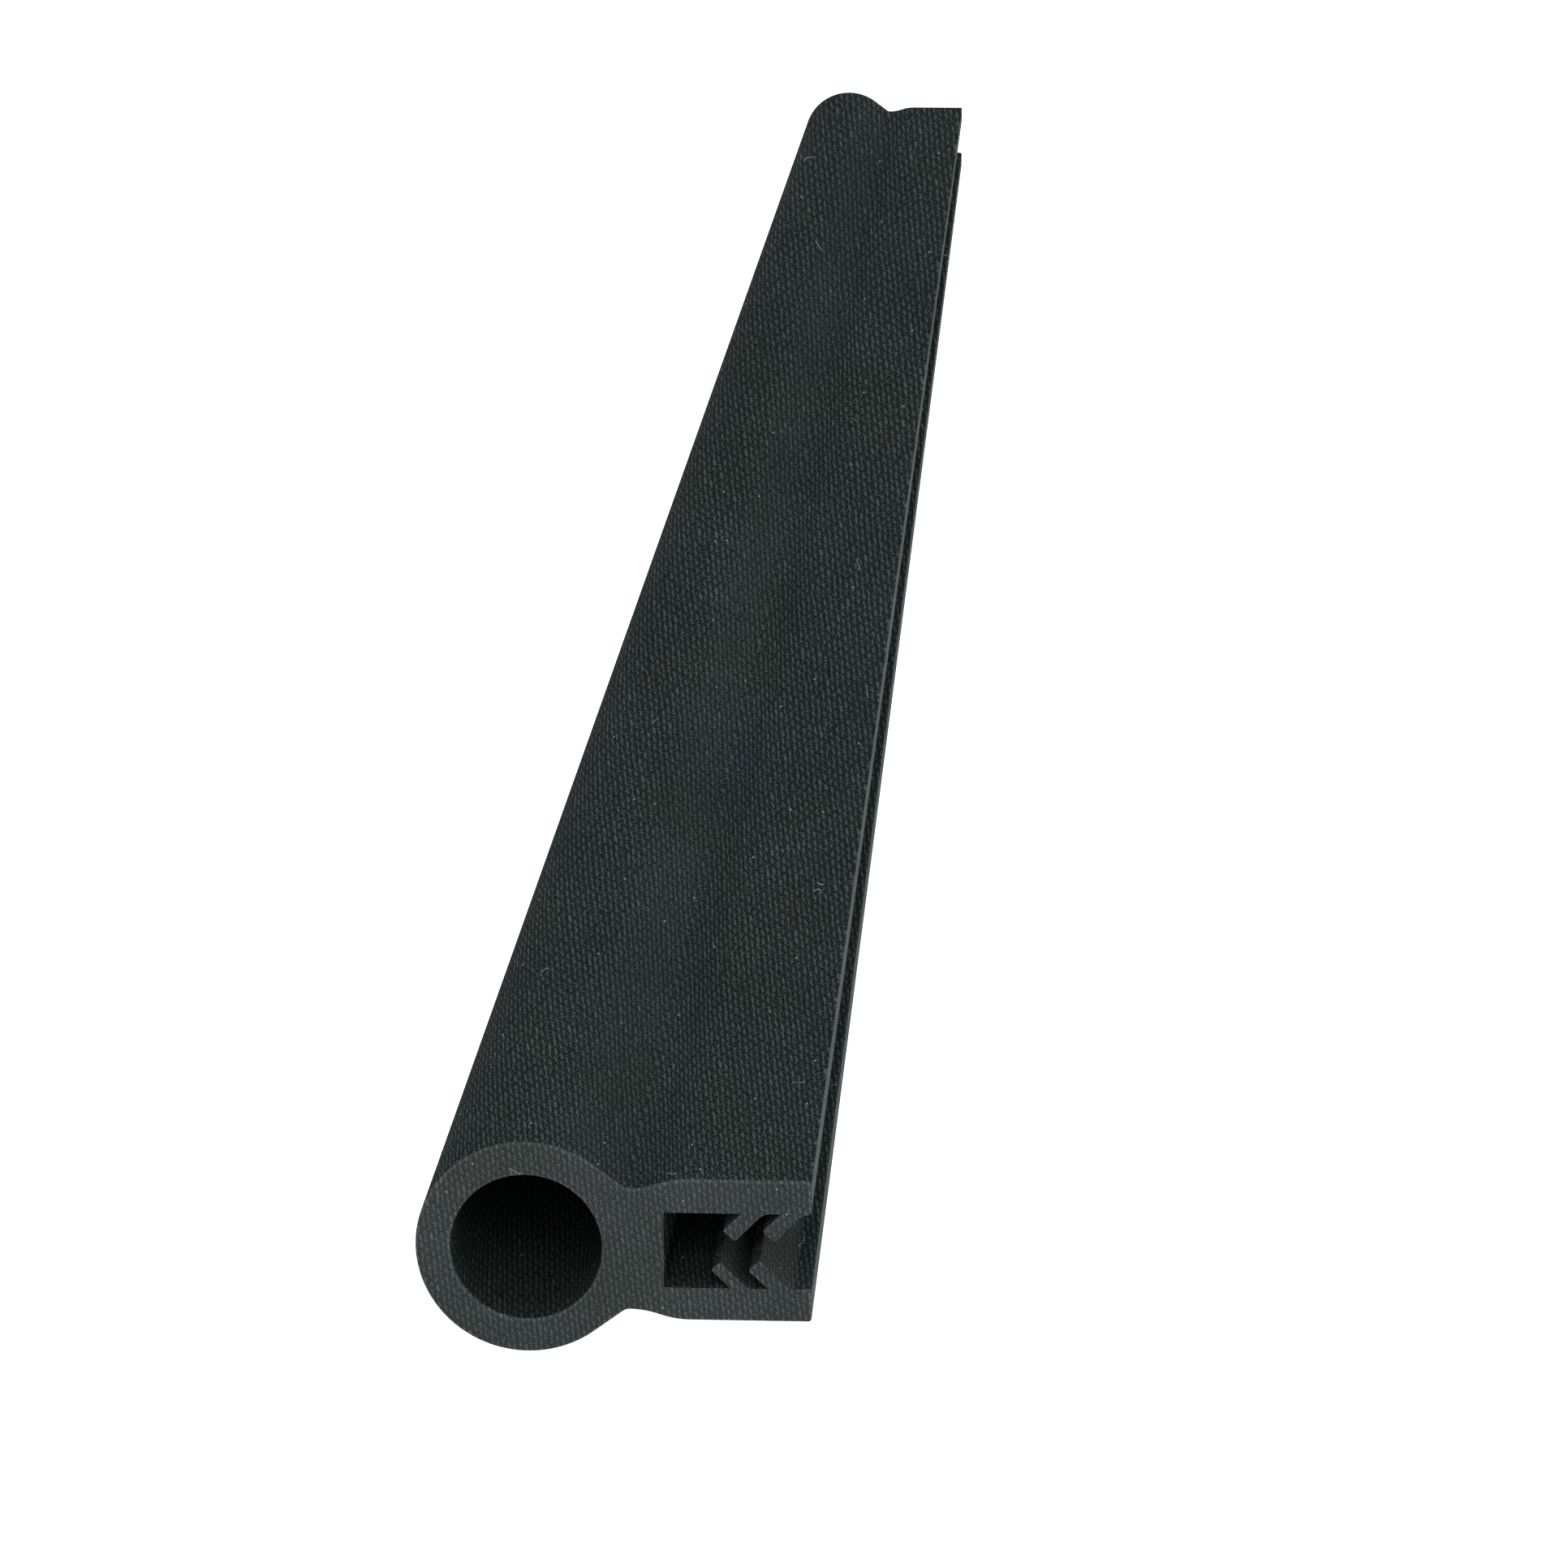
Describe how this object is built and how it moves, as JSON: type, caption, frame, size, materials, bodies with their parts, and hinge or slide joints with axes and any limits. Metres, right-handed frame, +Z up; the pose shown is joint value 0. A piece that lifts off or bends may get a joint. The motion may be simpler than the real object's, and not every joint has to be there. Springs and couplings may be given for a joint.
{
  "type": "bulb edge seal",
  "caption": "Straight length of push-on rubber edge seal: hollow round bulb on a U-channel whose slanting grip fins hold a panel edge.",
  "frame": {"origin": "centre of the bounding box: half way along the length, on the section's mid-plane, half way from the bulb's outside to the channel's mouth", "axes": "+X across the section from the bulb to the open mouth of the channel, +Y along the length, +Z up, square to the gripped panel"},
  "size_m": [0.025, 0.5, 0.014],
  "materials": {
    "sponge_rubber": "matt, fine cloth-pressed grain",
    "dense_rubber": "matt, fine cloth-pressed grain",
    "fin_rubber": "matt",
    "spring_steel": "cold-rolled, phosphated",
    "dipped_fibreglass": "twisted yarn, dipped in black latex"
  },
  "bodies": {
    "seal_body": {"bulb": "sponge_rubber", "channel_back": "dense_rubber", "upper_leg": "dense_rubber", "lower_leg": "dense_rubber", "steel_ribs": "spring_steel", "fibreglass_cord": "dipped_fibreglass"},
    "upper_outer_fin": {"upper_outer_fin": "fin_rubber"},
    "upper_inner_fin": {"upper_inner_fin": "fin_rubber"},
    "lower_outer_fin": {"lower_outer_fin": "fin_rubber"},
    "lower_inner_fin": {"lower_inner_fin": "fin_rubber"}
  },
  "joints": [
    {"name": "upper_outer_fin_fold", "type": "hinge", "parent": "seal_body", "child": "upper_outer_fin", "pos_m": [0.0106, 0, 0.0025], "axis": [0, 1, 0], "range_deg": [0, 28], "stiffness_Nm_per_rad": 0.05},
    {"name": "upper_inner_fin_fold", "type": "hinge", "parent": "seal_body", "child": "upper_inner_fin", "pos_m": [0.0081, 0, 0.0025], "axis": [0, 1, 0], "range_deg": [0, 28], "stiffness_Nm_per_rad": 0.05},
    {"name": "lower_outer_fin_fold", "type": "hinge", "parent": "seal_body", "child": "lower_outer_fin", "pos_m": [0.0097, 0, -0.0025], "axis": [0, -1, 0], "range_deg": [0, 28], "stiffness_Nm_per_rad": 0.05},
    {"name": "lower_inner_fin_fold", "type": "hinge", "parent": "seal_body", "child": "lower_inner_fin", "pos_m": [0.00735, 0, -0.0025], "axis": [0, -1, 0], "range_deg": [0, 28], "stiffness_Nm_per_rad": 0.05}
  ]
}
